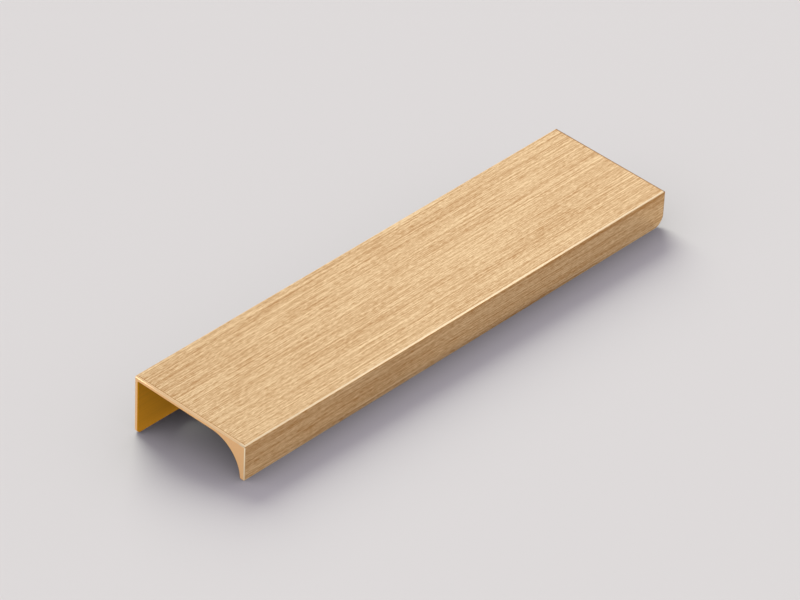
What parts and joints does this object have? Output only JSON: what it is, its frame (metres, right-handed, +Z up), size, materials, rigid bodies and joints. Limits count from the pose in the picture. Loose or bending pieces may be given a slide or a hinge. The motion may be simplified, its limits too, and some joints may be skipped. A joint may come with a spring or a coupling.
{
  "type": "finger pull profile",
  "caption": "Aluminium finger pull profile for a cabinet door: flat plate, rear screw flange and a scooped front lip.",
  "frame": {"origin": "on the floor, under the middle of the profile as it stands on the foot of its lip and on the lower edge of its flange", "axes": "+X along the extrusion, towards the end whose lip has the rounded corner; the lip faces -Y, the flange is at +Y; +Z is up. The plate leans down towards the lip by 10.5 degrees, because the lip is shorter than the flange."},
  "size_m": [0.16, 0.0426, 0.0182],
  "materials": {
    "gold_anodised_aluminium": "brushed along the length, clear gold anodised"
  },
  "bodies": {
    "root": {"finger_pull_profile": "gold_anodised_aluminium"}
  },
  "joints": []
}
